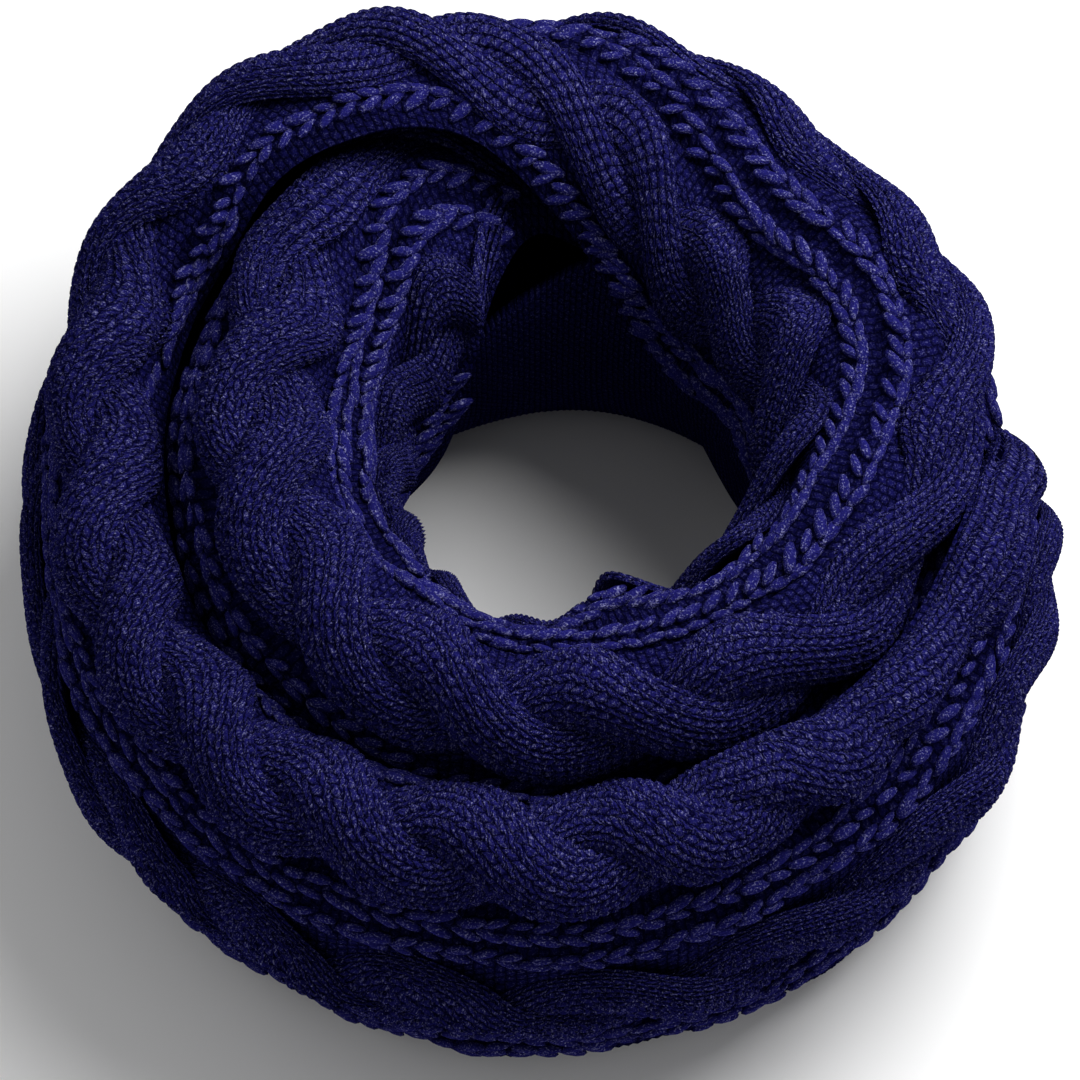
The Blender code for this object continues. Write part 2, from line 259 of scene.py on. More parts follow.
def oval(values, degrees):
    """Radius and height on each row's oval at its section angles."""
    c = np.cos(np.radians(degrees))
    s = np.sin(np.radians(degrees))
    radius = values[:, :1] + values[:, 2:3] * np.sign(c) * np.abs(c) ** (2 / ROUNDNESS)
    height = values[:, 1:2] + values[:, 3:4] * np.sign(s) * np.abs(s) ** (2 / ROUNDNESS)
    return np.stack([radius, height], axis=-1)


def rows_between(table, first, last, step):
    """Everything that the points of a stretch are worked out from, a row for each station."""
    whole = np.arange(table[0][0], table[-1][0] + 1)
    run = np.cumsum(read_sections(table, whole)[:, 0]) * math.radians(1)
    start, end = np.interp([first, last], whole, run)
    along = step * np.arange(round(start / step), round(end / step) + 1)
    turns = np.interp(along, run, whole)
    values = read_sections(table, turns)
    share = np.linspace(0.0, 1.0, ARC_SAMPLES)
    degrees = values[:, 4:5] + (values[:, 5:6] - values[:, 4:5]) * share
    points = oval(values, degrees)
    steps = np.linalg.norm(np.diff(points, axis=1), axis=-1)
    distance = np.concatenate([np.zeros((len(turns), 1)), np.cumsum(steps, axis=1)], axis=1)
    if values.shape[1] > 6:
        zero = [np.interp(v[6], d, m) for v, d, m in zip(values, degrees, distance)]
        distance = distance - np.array(zero)[:, None]
    return {"along": along, "turns": turns, "values": values, "degrees": degrees, "distance": distance}


def tucked(rows, radius, height):
    """How far in a point lies where the outer turn goes under the band that crosses it."""
    share = np.clip((rows["turns"][:, None] - TUCK_STARTS) / (BAND_SECTIONS[-1][0] - TUCK_STARTS), 0.0, 1.0)
    share = share * share * (3.0 - 2.0 * share)
    over = read_sections(BAND_SECTIONS, rows["turns"] - 360.0)
    level = np.clip(np.abs(height - over[:, 1:2]) / over[:, 3:4], 0.0, 1.0)
    wall = over[:, :1] + over[:, 2:3] * (1.0 - level**ROUNDNESS) ** (1.0 / ROUNDNESS)
    return share * np.maximum(radius - wall + TUCK_DEPTH, 0.0)


def on_band(rows, across, height, ahead_by=0.0):
    """Points in metres at distances across the band, heights above its oval and distances ahead."""
    at = np.array([np.interp(x, d, p) for x, d, p in zip(across, rows["distance"], rows["degrees"])])
    base = oval(rows["values"], at)
    onward = oval(rows["values"], at + 0.5) - oval(rows["values"], at - 0.5)
    normal = np.stack([onward[..., 1], -onward[..., 0]], axis=-1)
    normal /= np.linalg.norm(normal, axis=-1)[..., None]
    section = base + normal * height[..., None]
    section[..., 0] -= tucked(rows, base[..., 0], base[..., 1])
    angle = np.radians(rows["turns"])[:, None] + ahead_by / rows["values"][:, :1]
    x = section[..., 0] * np.cos(angle) + RING_SHIFT[0]
    y = section[..., 0] * np.sin(angle) + RING_SHIFT[1]
    z = np.maximum(section[..., 1], 0.0)
    return np.stack([x, y, z], axis=-1) * MM


def bell(x):
    """A smooth hump, 1 at 0 and 0 beyond 1."""
    return 0.5 + 0.5 * np.cos(math.pi * np.clip(np.abs(x), 0.0, 1.0))


def slow_forms(rows, across):
    """Folds, swellings and unevenness of the cloth."""
    turn = rows["turns"][:, None]
    height = np.zeros_like(across)
    for first, last, start, end, rise, half_width in FOLDS:
        share = (turn - first) / (last - first)
        place = start + (end - start) * share
        fade = np.clip(np.minimum(share, 1.0 - share) / FOLD_FADE_SHARE, 0.0, 1.0)
        height += FOLD_DEEPENING * rise * fade * bell((across - place) / half_width)
    for centre, place, half_span, half_width, rise in SWELLINGS:
        height += rise * bell((turn - centre) / half_span) * bell((across - place) / half_width)
    along = rows["along"][:, None] * MM
    for wave_along, wave_across, phase, rise in UNEVENNESS:
        height += rise * np.sin(2 * math.pi * (wave_along * along + wave_across * across * MM) + phase)
    return height


def hem_fade(rows, across):
    """1 over most of the band and 0 at its edges and its hidden ends."""
    lowest = rows["distance"][:, :1]
    highest = rows["distance"][:, -1:]
    edge = np.clip(np.minimum(across - lowest, highest - across) / HEM_FADE, 0.0, 1.0)
    turn = rows["turns"][:, None]
    return edge * np.clip(np.minimum(turn - RELIEF_STARTS, RELIEF_ENDS - turn) / RELIEF_FADE, 0.0, 1.0)


def stitch_side(wale):
    """How far a point is from the middle of its column of stitches, 0 to 1."""
    return np.abs(wale - np.floor(wale) - 0.5) * 2


def plain_stitch(side, course):
    """Height of plain knitting, 0 to 1: two legs in each column, on rows that slant outwards."""
    return np.sin(math.pi * side) * (0.35 + 0.65 * np.abs(np.sin(math.pi * course)) ** 0.8)


def purl_stitch(wale, course):
    """Height of the reverse side, 0 to 1: rows of short bumps."""
    bump = np.abs(np.cos(math.pi * course)) ** 0.8
    return bump * (0.7 + 0.3 * np.cos(2 * math.pi * (wale + 0.5 * np.floor(course + 0.5))))


def rib_place(across):
    """How far into a group of ribs a point is, and whether it is in one."""
    beside = np.abs(across) - CABLE_HALF_WIDTH
    beside = np.where(across > CABLE_PITCH, across - CABLE_PITCH - CABLE_HALF_WIDTH, beside)
    return beside, (beside > 0) & (beside < RIBS_BESIDE * RIB_PITCH)


def ground_relief(rows, across):
    """Height of the ridges, eyelets and reverse knitting, and the painted light share of each place, which
    paints shade where it is less open to light.
    """
    along = rows["along"][:, None]
    beside, ribbed = rib_place(across)
    number = np.floor(beside / RIB_PITCH)
    ridge = bell((beside - (number + 0.5) * RIB_PITCH) * 2 / RIB_PITCH)
    ridge = (RIB_RIDGE + GUTTER_DEPTH) * ridge - GUTTER_DEPTH
    near = (along / EYELET_SPACING + 0.5 * number) % 1.0 - 0.5
    wide = (beside - np.round(beside / RIB_PITCH) * RIB_PITCH) / EYELET_RADIUS
    eyelet = bell(np.hypot(near * EYELET_SPACING / EYELET_RADIUS, wide))
    purl = purl_stitch(across / STITCH_WIDTH, along / STITCH_LENGTH)
    height = np.where(ribbed, ridge - EYELET_DEPTH * eyelet, PURL_RELIEF * purl)
    # Painted shade: the gutters get less of the lit colour, and the eyelets none.
    light = np.where(ribbed, GUTTER_PAINTED_LIGHT * (1.0 - eyelet), PURL_PAINTED_LIGHT)
    under = bell(across / CABLE_HALF_WIDTH) + bell((across - CABLE_PITCH) / CABLE_HALF_WIDTH)
    height -= STRAND_FOOT * np.clip(2.0 * under, 0.0, 1.0)
    return height, light


def ground_columns():
    """Distances across the ground: close in the ribs, sparse under the cables and at the edges."""
    ribs = np.arange(RIBS_BESIDE * RIB_COLUMNS + 1) * RIB_PITCH / RIB_COLUMNS + CABLE_HALF_WIDTH
    under = np.linspace(-CABLE_HALF_WIDTH, CABLE_HALF_WIDTH, 7)[1:-1]
    last = CABLE_PITCH - CABLE_HALF_WIDTH
    return np.concatenate([
        np.arange(BAND_REACH[0], -ribs[-1], STITCH_WIDTH / 2),
        -ribs[::-1],
        under,
        ribs[ribs < last - 0.5],
        [last],
        under + CABLE_PITCH,
        ribs + CABLE_PITCH,
        np.arange(ribs[-1] + CABLE_PITCH + 2.0, BAND_REACH[1], STITCH_WIDTH / 2),
    ])


def spread_columns(rows, columns):
    """The columns on each row, drawn together where the band is narrow, with its two edges added."""
    wanted = np.concatenate([[-1e6], columns, [1e6]])
    order = np.arange(len(wanted))
    first = rows["distance"][:, :1] + order * CLOSEST_COLUMNS
    last = rows["distance"][:, -1:] - order[::-1] * CLOSEST_COLUMNS
    return np.clip(wanted, first, last)


def grid_faces(rows, columns, start=0, turned=False):
    """Faces of a grid of points, as outward on the band or turned round."""
    a = start + (np.arange(rows - 1)[:, None] * columns + np.arange(columns - 1)[None]).ravel()
    quads = np.stack([a, a + columns, a + columns + 1, a + 1], axis=-1)
    return quads[:, ::-1] if turned else quads


def bridge(a, b):
    """Triangles between two lines of points that run side by side, b on the left going on."""
    faces = []
    i = j = 0
    while i < len(a) - 1 or j < len(b) - 1:
        ahead = (i + 1) * (len(b) - 1) <= (j + 1) * (len(a) - 1)
        if j == len(b) - 1 or (i < len(a) - 1 and ahead):
            faces.append((b[j], a[i + 1], a[i]))
            i += 1
        else:
            faces.append((b[j], b[j + 1], a[i]))
            j += 1
    return faces


def make_piece(name, points, faces, wales, light, rims, material):
    """A smooth mesh with its stitch map, the painted light share of each point, which the yarn reads to
    paint shade, and sharp rims at its ends.
    """
    mesh = bpy.data.meshes.new(name)
    mesh.from_pydata(points.tolist(), [], faces)
    mesh.materials.append(material)
    corner = np.empty(len(mesh.loops), np.int32)
    mesh.loops.foreach_get("vertex_index", corner)
    layer = mesh.uv_layers.new(name="stitches")
    layer.uv.foreach_set("vector", wales[corner].astype(np.float32).ravel())
    # The painted light share, which darkens the yarn's colour as painted shade.
    painted_light_share = mesh.attributes.new("painted_light_share", "FLOAT", "POINT")
    painted_light_share.data.foreach_set("value", light.astype(np.float32))
    mesh.shade_smooth()
    rim = np.zeros(len(points), np.int32)
    for number, line in enumerate(rims, 1):
        rim[line] = number
    ends = np.empty(2 * len(mesh.edges), np.int32)
    mesh.edges.foreach_get("vertices", ends)
    ends = rim[ends.reshape(-1, 2)]
    sharp = mesh.attributes.new("sharp_edge", "BOOLEAN", "EDGE")
    sharp.data.foreach_set("value", (ends[:, 0] > 0) & (ends[:, 0] == ends[:, 1]))
    piece = bpy.data.objects.new(name, mesh)
    bpy.context.scene.collection.objects.link(piece)
    return piece


def cloth_shell(name, outer, inner, wales, inner_wales, light, material):
    """A closed shell from a close outer grid and a sparser inner one."""
    n, m = outer.shape[:2]
    p, q = inner.shape[:2]
    start = n * m
    out = np.arange(n * m).reshape(n, m)
    back = start + np.arange(p * q).reshape(p, q)
    faces = grid_faces(n, m).tolist() + grid_faces(p, q, start, turned=True).tolist()
    faces += bridge(out[:, 0], back[:, 0])
    faces += bridge(back[:, -1], out[:, -1])
    faces += bridge(back[0], out[0])
    faces += bridge(out[-1], back[-1])
    points = np.concatenate([outer.reshape(-1, 3), inner.reshape(-1, 3)])
    all_wales = np.concatenate([wales.reshape(-1, 2), inner_wales.reshape(-1, 2)])
    # The inside of the shell gets half the lit colour, as painted shade.
    all_painted_light = np.concatenate([light.ravel(), np.full(p * q, 0.5)])
    faces = [tuple(int(k) for k in face) for face in faces]
    return make_piece(name, points, faces, all_wales, all_painted_light, (out[0], out[-1]), material)


def ground_piece(name, rows, material):
    """The ribbed and plain ground of one stretch."""
    across = spread_columns(rows, ground_columns())
    fade = hem_fade(rows, across)
    relief, light = ground_relief(rows, across)
    slow = slow_forms(rows, across)
    outer = on_band(rows, across, np.maximum(relief + slow, -DEEPEST_TROUGH) * fade)
    kept = np.unique(np.concatenate([np.arange(0, across.shape[1], 6), [across.shape[1] - 1]]))
    stations = np.unique(np.concatenate([np.arange(0, len(across), 6), [len(across) - 1]]))
    inner_rows = {key: value[stations] for key, value in rows.items()}
    depth = np.minimum((slow * fade)[np.ix_(stations, kept)], 0.0) - WALL_THICKNESS
    inner = on_band(inner_rows, across[np.ix_(stations, kept)], depth)
    along = np.broadcast_to(rows["along"][:, None], across.shape)
    wales = np.stack([across / STITCH_WIDTH, along / STITCH_LENGTH], axis=-1)
    return cloth_shell(name, outer, inner, wales, wales[np.ix_(stations, kept)], light, material)


def strand_rings(rows, cable, twin):
    """Points, stitch map and painted light share of one strand of a rope cable, which crosses its twin."""
    columns = 4 * STRAND_STITCHES + 1
    wale = np.linspace(0.0, STRAND_STITCHES, columns)[None]
    side = stitch_side(wale)
    side[:, -1] = side[:, 0]
    foot = np.array([[STRAND_FOOT_WIDTH, 0.0, -STRAND_FOOT_WIDTH]])
    turned = math.pi * (1.0 - wale / STRAND_STITCHES)
    ahead_by = STITCH_SLANT * STITCH_LENGTH * np.concatenate([side, side[:, :1] + 0.0 * foot], axis=1)
    along = rows["along"][:, None] + ahead_by
    phase = math.pi * (along / CABLE_CROSSING + twin)
    uneven = 1.0 + STRAND_UNEVENNESS * np.sin(along / STRAND_WAVE + 2.0 * cable + twin)
    middle = cable + STRAND_SWING * np.cos(phase) * uneven
    lowest = rows["distance"][:, :1] + STRAND_HALF_WIDTH
    highest = np.maximum(rows["distance"][:, -1:] - STRAND_HALF_WIDTH, lowest)
    middle = np.clip(middle, lowest, highest)
    lift = STRAND_LIFT * np.sin(phase)
    course = rows["along"][:, None] / STITCH_LENGTH + 0.0 * wale
    stitch = plain_stitch(side, course) * STITCH_RELIEF
    half_width = STRAND_HALF_WIDTH * (1.0 + STRAND_SWELL * np.sin(phase)) * uneven
    x = middle.copy()
    h = lift - STRAND_FOOT
    x[:, :columns] += (half_width[:, :columns] + stitch) * np.cos(turned)
    x[:, columns:] += half_width[:, columns:] * foot
    arch = np.sin(turned) ** STRAND_ARCH
    h[:, :columns] = lift[:, :columns] + (STRAND_HEIGHT + stitch) * arch
    fade = hem_fade(rows, x)
    slow = np.maximum(slow_forms(rows, x), -DEEPEST_TROUGH)
    height = fade * (h + slow) - (1.0 - fade) * STRAND_FOOT
    place = np.clip(x, rows["distance"][:, :1], rows["distance"][:, -1:])
    points = on_band(rows, place, height, ahead_by)
    extra = np.zeros((len(along), 3))
    wale = np.concatenate([wale + 0.0 * course, extra + STRAND_STITCHES], axis=1)
    slanted = along / STITCH_LENGTH
    # Painted shade: the strand keeps the full lit colour and its foot gets the painted shade.
    light = np.concatenate([np.ones_like(course), extra], axis=1)
    return points, np.stack([wale, slanted], axis=-1), light


def tube_faces(n, m, start):
    """Faces of a closed tube of n rings with m points each, with its two ends."""
    i = np.arange(n - 1)[:, None] * m
    j = np.arange(m)[None]
    k = (j + 1) % m
    quads = np.stack([i + j, i + m + j, i + m + k, i + k], axis=-1).reshape(-1, 4) + start
    ends = [tuple(range(start, start + m)), tuple(range(start + n * m - 1, start + (n - 1) * m - 1, -1))]
    return quads.tolist() + ends


def cables_piece(name, rows, material):
    """The strands of both rope cables on one stretch."""
    points, faces, wales, light, rims = [], [], [], [], []
    start = 0
    for cable in (0.0, CABLE_PITCH):
        for twin in (0, 1):
            # Each strand carries its painted light share, which paints shade at its foot.
            ring, stitch_map, strand_painted_light = strand_rings(rows, cable, twin)
            n, m = ring.shape[:2]
            faces += tube_faces(n, m, start)
            rims += [range(start, start + m), range(start + (n - 1) * m, start + n * m)]
            start += n * m
            points.append(ring.reshape(-1, 3))
            wales.append(stitch_map.reshape(-1, 2))
            light.append(strand_painted_light.ravel())
    return make_piece(
        name, np.concatenate(points), faces, np.concatenate(wales), np.concatenate(light), rims, material
    )


def rib_lines():
    """Distance across the band of each slip stitch rib, and its number in its group."""
    lines = []
    for number in range(RIBS_BESIDE):
        place = CABLE_HALF_WIDTH + (number + 0.5) * RIB_PITCH
        lines += [(-place, number), (place, number), (CABLE_PITCH + place, number)]
    return lines


def rib_stitch_places(rows):
    """Middle, outward direction and lengthwise direction of each leg of the slip stitches."""
    lines = rib_lines()
    first, last = rows["along"][0], rows["along"][-1]
    places = []
    for across, number in lines:
        for hand in (-1.0, 1.0):
            offset = (RIB_OFFSET * number + LEG_OFFSET * hand) * RIB_STITCH_LENGTH
            lowest = math.ceil((first - offset) / RIB_STITCH_LENGTH)
            along = np.arange(lowest, (last - offset) / RIB_STITCH_LENGTH) * RIB_STITCH_LENGTH + offset
            station = np.clip(np.searchsorted(rows["along"], along), 0, len(rows["along"]) - 1)
            at = {key: value[station] for key, value in rows.items()}
            x = np.full((len(along), 1), across + hand * RIB_STITCH_SPREAD)
            low = at["distance"][:, :1]
            high = at["distance"][:, -1:]
            # Where the flap narrows, its last rib runs along the hem.
            hem = high - RIB_TO_HEM + hand * RIB_STITCH_SPREAD
            follows = (x > hem) & (x < hem + RIB_PITCH - 1.0) & (at["turns"][:, None] > HEM_RIB_STARTS)
            x = np.where(follows, hem, x)
            fade = hem_fade(at, x)
            inside = (x > low + RIB_TO_HEM - 3.0) & (x < high - RIB_TO_HEM + 3.0) & (fade > 0.3)
            height = fade * (np.maximum(slow_forms(at, x), -DEEPEST_TROUGH) + RIB_RIDGE)
            ends = []
            for ahead_by, aside in ((0.0, 0.0), (2.0, 0.0), (0.0, 2.0)):
                ends.append(on_band(at, np.clip(x + aside, low, high), height, ahead_by)[:, 0])
            ahead = ends[1] - ends[0]
            sideways = ends[2] - ends[0]
            ahead /= np.linalg.norm(ahead, axis=1)[:, None] + 1e-12
            sideways /= np.linalg.norm(sideways, axis=1)[:, None] + 1e-12
            outward = np.cross(sideways, ahead)
            slant = math.radians(RIB_STITCH_SLANT) * hand
            lengthwise = ahead * math.cos(slant) + sideways * math.sin(slant)
            places.append(np.stack([ends[0], outward, lengthwise], axis=1)[inside[:, 0]])
    return np.concatenate(places)


def rib_stitch_tree(material):
    """Geometry nodes that put a leg of yarn on each point, turned to its two directions."""
    tree = bpy.data.node_groups.new("slip_stitch_legs", "GeometryNodeTree")
    face = tree.interface
    face.new_socket("Geometry", in_out="INPUT", socket_type="NodeSocketGeometry")
    for name in ("Leg Length", "Leg Width", "Leg Height", "Unevenness", "Stray", "Tilt"):
        face.new_socket(name, in_out="INPUT", socket_type="NodeSocketFloat")
    face.new_socket("Seed", in_out="INPUT", socket_type="NodeSocketInt")
    face.new_socket("Geometry", in_out="OUTPUT", socket_type="NodeSocketGeometry")
    inputs = add_node(tree, "NodeGroupInput")
    leg = add_node(tree, "GeometryNodeMeshUVSphere", {"Segments": 8, "Rings": 5, "Radius": 0.5})
    mapped = add_node(
        tree,
        "GeometryNodeStoreNamedAttribute",
        {"data_type": "FLOAT2", "domain": "CORNER", "Name": "stitches"},
        {"Geometry": (leg, "Mesh"), "Value": (leg, "UV Map")},
    )
    # The poles of the leg point along it.
    size = add_node(
        tree,
        "ShaderNodeCombineXYZ",
        None,
        {"X": (inputs, "Leg Height"), "Y": (inputs, "Leg Width"), "Z": (inputs, "Leg Length")},
    )
    shaped = add_node(tree, "GeometryNodeTransform", None, {"Geometry": mapped, "Scale": size})
    smooth = add_node(tree, "GeometryNodeSetShadeSmooth", None, {"Geometry": shaped})
    named = "GeometryNodeInputNamedAttribute"
    outward = add_node(tree, named, {"data_type": "FLOAT_VECTOR", "Name": "outward"})
    lengthwise = add_node(tree, named, {"data_type": "FLOAT_VECTOR", "Name": "lengthwise"})
    turned = add_node(
        tree,
        "FunctionNodeAxesToRotation",
        {"primary_axis": "Z", "secondary_axis": "X"},
        {"Primary Axis": (lengthwise, "Attribute"), "Secondary Axis": (outward, "Attribute")},
    )
    # Each leg strays a little from its place and tilts a little, as hand tension does.
    way = add_node(
        tree,
        "FunctionNodeRandomValue",
        {"data_type": "FLOAT_VECTOR", 0: (-1.0, -1.0, -1.0), 1: (1.0, 1.0, 1.0)},
        {"Seed": (inputs, "Seed")},
    )
    scaled = {"operation": "SCALE"}
    stray = add_node(tree, "ShaderNodeVectorMath", scaled, {0: way, "Scale": (inputs, "Stray")})
    places = add_node(tree, "GeometryNodeSetPosition", None, {"Geometry": inputs, "Offset": stray})
    tilt = add_node(tree, "ShaderNodeVectorMath", scaled, {0: way, "Scale": (inputs, "Tilt")})
    tilt_turn = add_node(tree, "FunctionNodeEulerToRotation", None, {"Euler": tilt})
    turn = {"Rotation": turned, "Rotate By": tilt_turn}
    turned = add_node(tree, "FunctionNodeRotateRotation", None, turn)
    least = add_node(tree, "ShaderNodeMath", {"operation": "SUBTRACT", 0: 1.0}, {1: (inputs, "Unevenness")})
    most = add_node(tree, "ShaderNodeMath", {"operation": "ADD", 0: 1.0}, {1: (inputs, "Unevenness")})
    scale = add_node(
        tree,
        "FunctionNodeRandomValue",
        {"data_type": "FLOAT"},
        {2: least, 3: most, "Seed": (inputs, "Seed")},
    )
    legs = add_node(
        tree,
        "GeometryNodeInstanceOnPoints",
        None,
        {"Points": places, "Instance": smooth, "Rotation": turned, "Scale": (scale, 1)},
    )
    real = add_node(tree, "GeometryNodeRealizeInstances", None, {"Geometry": legs})
    dyed = add_node(tree, "GeometryNodeSetMaterial", {"Material": material}, {"Geometry": real})
    add_node(tree, "NodeGroupOutput", None, {"Geometry": dyed})
    return tree


def ribs_piece(name, rows, tree):
    """The slip stitch ribs of one stretch, as plain mesh."""
    places = rib_stitch_places(rows)
    mesh = bpy.data.meshes.new(name + "_places")
    mesh.from_pydata(places[:, 0].tolist(), [], [])
    for column, label in ((1, "outward"), (2, "lengthwise")):
        layer = mesh.attributes.new(label, "FLOAT_VECTOR", "POINT")
        layer.data.foreach_set("vector", places[:, column].astype(np.float32).ravel())
    carrier = bpy.data.objects.new(name + "_places", mesh)
    bpy.context.scene.collection.objects.link(carrier)
    modifier = carrier.modifiers.new("legs", "NODES")
    modifier.node_group = tree
    length, width, height = RIB_STITCH_SIZE
    sizes = {
        "Leg Length": length * MM,
        "Leg Width": width * MM,
        "Leg Height": height * MM,
        "Unevenness": RIB_STITCH_UNEVENNESS,
        "Stray": RIB_STITCH_STRAY * MM,
        "Tilt": RIB_STITCH_TILT,
        "Seed": RIB_STITCH_SEED,
    }
    for item in tree.interface.items_tree:
        if item.in_out == "INPUT" and item.name in sizes:
            modifier[item.identifier] = sizes[item.name]
    bpy.context.view_layer.update()
    made = carrier.evaluated_get(bpy.context.evaluated_depsgraph_get())
    ribs_mesh = bpy.data.meshes.new_from_object(made)
    ribs_mesh.name = name
    bpy.data.objects.remove(carrier)
    piece = bpy.data.objects.new(name, ribs_mesh)
    bpy.context.scene.collection.objects.link(piece)
    return piece


def hole_piece(name, material):
    """The reverse side of the band inside the hole, in rows of bumps."""
    rows = rows_between(HOLE_SECTIONS, HOLE_SECTIONS[0][0], HOLE_SECTIONS[-1][0], STITCH_LENGTH / 3)
    width = rows["distance"][:, -1:]
    columns = round(width.max() / (STITCH_WIDTH / 3))
    across = width * np.linspace(0.0, 1.0, columns)[None]
    along = np.broadcast_to(rows["along"][:, None], across.shape)
    wale = (width - across) / STITCH_WIDTH
    purl = purl_stitch(wale, along / STITCH_LENGTH)
    edge = np.clip(np.minimum(across, width - across) / HEM_FADE, 0.0, 1.0)
    outer = on_band(rows, across, PURL_RELIEF * purl * edge)
    kept = np.unique(np.concatenate([np.arange(0, columns, 8), [columns - 1]]))
    stations = np.unique(np.concatenate([np.arange(0, len(across), 8), [len(across) - 1]]))
    inner_rows = {key: value[stations] for key, value in rows.items()}
    deep = across[np.ix_(stations, kept)]
    inner = on_band(inner_rows, deep, np.full(deep.shape, -WALL_THICKNESS))
    wales = np.stack([wale, along / STITCH_LENGTH], axis=-1)
    # Painted shade: the gaps between the rows of purl bumps get less of the lit colour.
    return cloth_shell(name, outer, inner, wales, wales[np.ix_(stations, kept)], 0.3 + 0.7 * purl, material)


def layers_piece(name, material):
    """The hidden layers, rounder than their solid."""
    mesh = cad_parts["hidden_layers"].data.copy()
    mesh.name = name
    work = bmesh.new()
    work.from_mesh(mesh)
    bmesh.ops.remove_doubles(work, verts=work.verts, dist=1e-6)
    work.to_mesh(mesh)
    work.free()
    mesh.materials.clear()
    mesh.materials.append(material)
    mesh.shade_smooth()
    piece = bpy.data.objects.new(name, mesh)
    bpy.context.scene.collection.objects.link(piece)
    return piece


def add_node(tree, kind, settings=None, links=None):
    """Adds a node with its settings. A linked socket takes a number, a node, or a node and its output."""
    node = tree.nodes.new(kind)
    for key, value in (settings or {}).items():
        if isinstance(key, int) or key in node.inputs:
            node.inputs[key].default_value = value
        else:
            setattr(node, key, value)
    for key, source in (links or {}).items():
        if isinstance(source, (int, float)):
            node.inputs[key].default_value = source
            continue
        other, output = source if isinstance(source, tuple) else (source, 0)
        tree.links.new(other.outputs[output], node.inputs[key])
    return node


def sine_bump(tree, value, power):
    """A hump between each whole number and the next, as a power of a sine."""
    fraction = add_node(tree, "ShaderNodeMath", {"operation": "FRACT"}, {0: value})
    angle = add_node(tree, "ShaderNodeMath", {"operation": "MULTIPLY"}, {0: fraction, 1: math.pi})
    sine = add_node(tree, "ShaderNodeMath", {"operation": "SINE"}, {0: angle})
    above = add_node(tree, "ShaderNodeMath", {"operation": "MAXIMUM"}, {0: sine, 1: 0.0})
    return add_node(tree, "ShaderNodeMath", {"operation": "POWER"}, {0: above, 1: power})


def stitch_pattern(tree, kind, wale, course):
    """Height of the knitting, 0 to 1, from its stitch map."""
    if kind == "leg":
        return sine_bump(tree, course, 0.5)
    if kind == "purl":
        row = add_node(tree, "ShaderNodeMath", {"operation": "ADD"}, {0: course, 1: 0.25})
        whole = add_node(tree, "ShaderNodeMath", {"operation": "FLOOR"}, {0: row})
        odd = add_node(tree, "ShaderNodeMath", {"operation": "MULTIPLY_ADD"}, {0: whole, 1: 0.5, 2: wale})
        loops = sine_bump(tree, odd, 0.6)
        return add_node(
            tree, "ShaderNodeMath", {"operation": "MULTIPLY"}, {0: loops, 1: sine_bump(tree, row, 0.6)}
        )
    part = add_node(tree, "ShaderNodeMath", {"operation": "FRACT"}, {0: wale})
    middle = add_node(tree, "ShaderNodeMath", {"operation": "SUBTRACT"}, {0: part, 1: 0.5})
    aside = add_node(tree, "ShaderNodeMath", {"operation": "ABSOLUTE"}, {0: middle})
    side = add_node(tree, "ShaderNodeMath", {"operation": "MULTIPLY"}, {0: aside, 1: 2.0})
    slant = add_node(tree, "ShaderNodeMath", {"operation": "MULTIPLY"}, {0: side, 1: STITCH_SLANT})
    slanted = add_node(tree, "ShaderNodeMath", {"operation": "SUBTRACT"}, {0: course, 1: slant})
    legs = sine_bump(tree, side, 0.6)
    return add_node(
        tree, "ShaderNodeMath", {"operation": "MULTIPLY"}, {0: legs, 1: sine_bump(tree, slanted, 0.5)}
    )


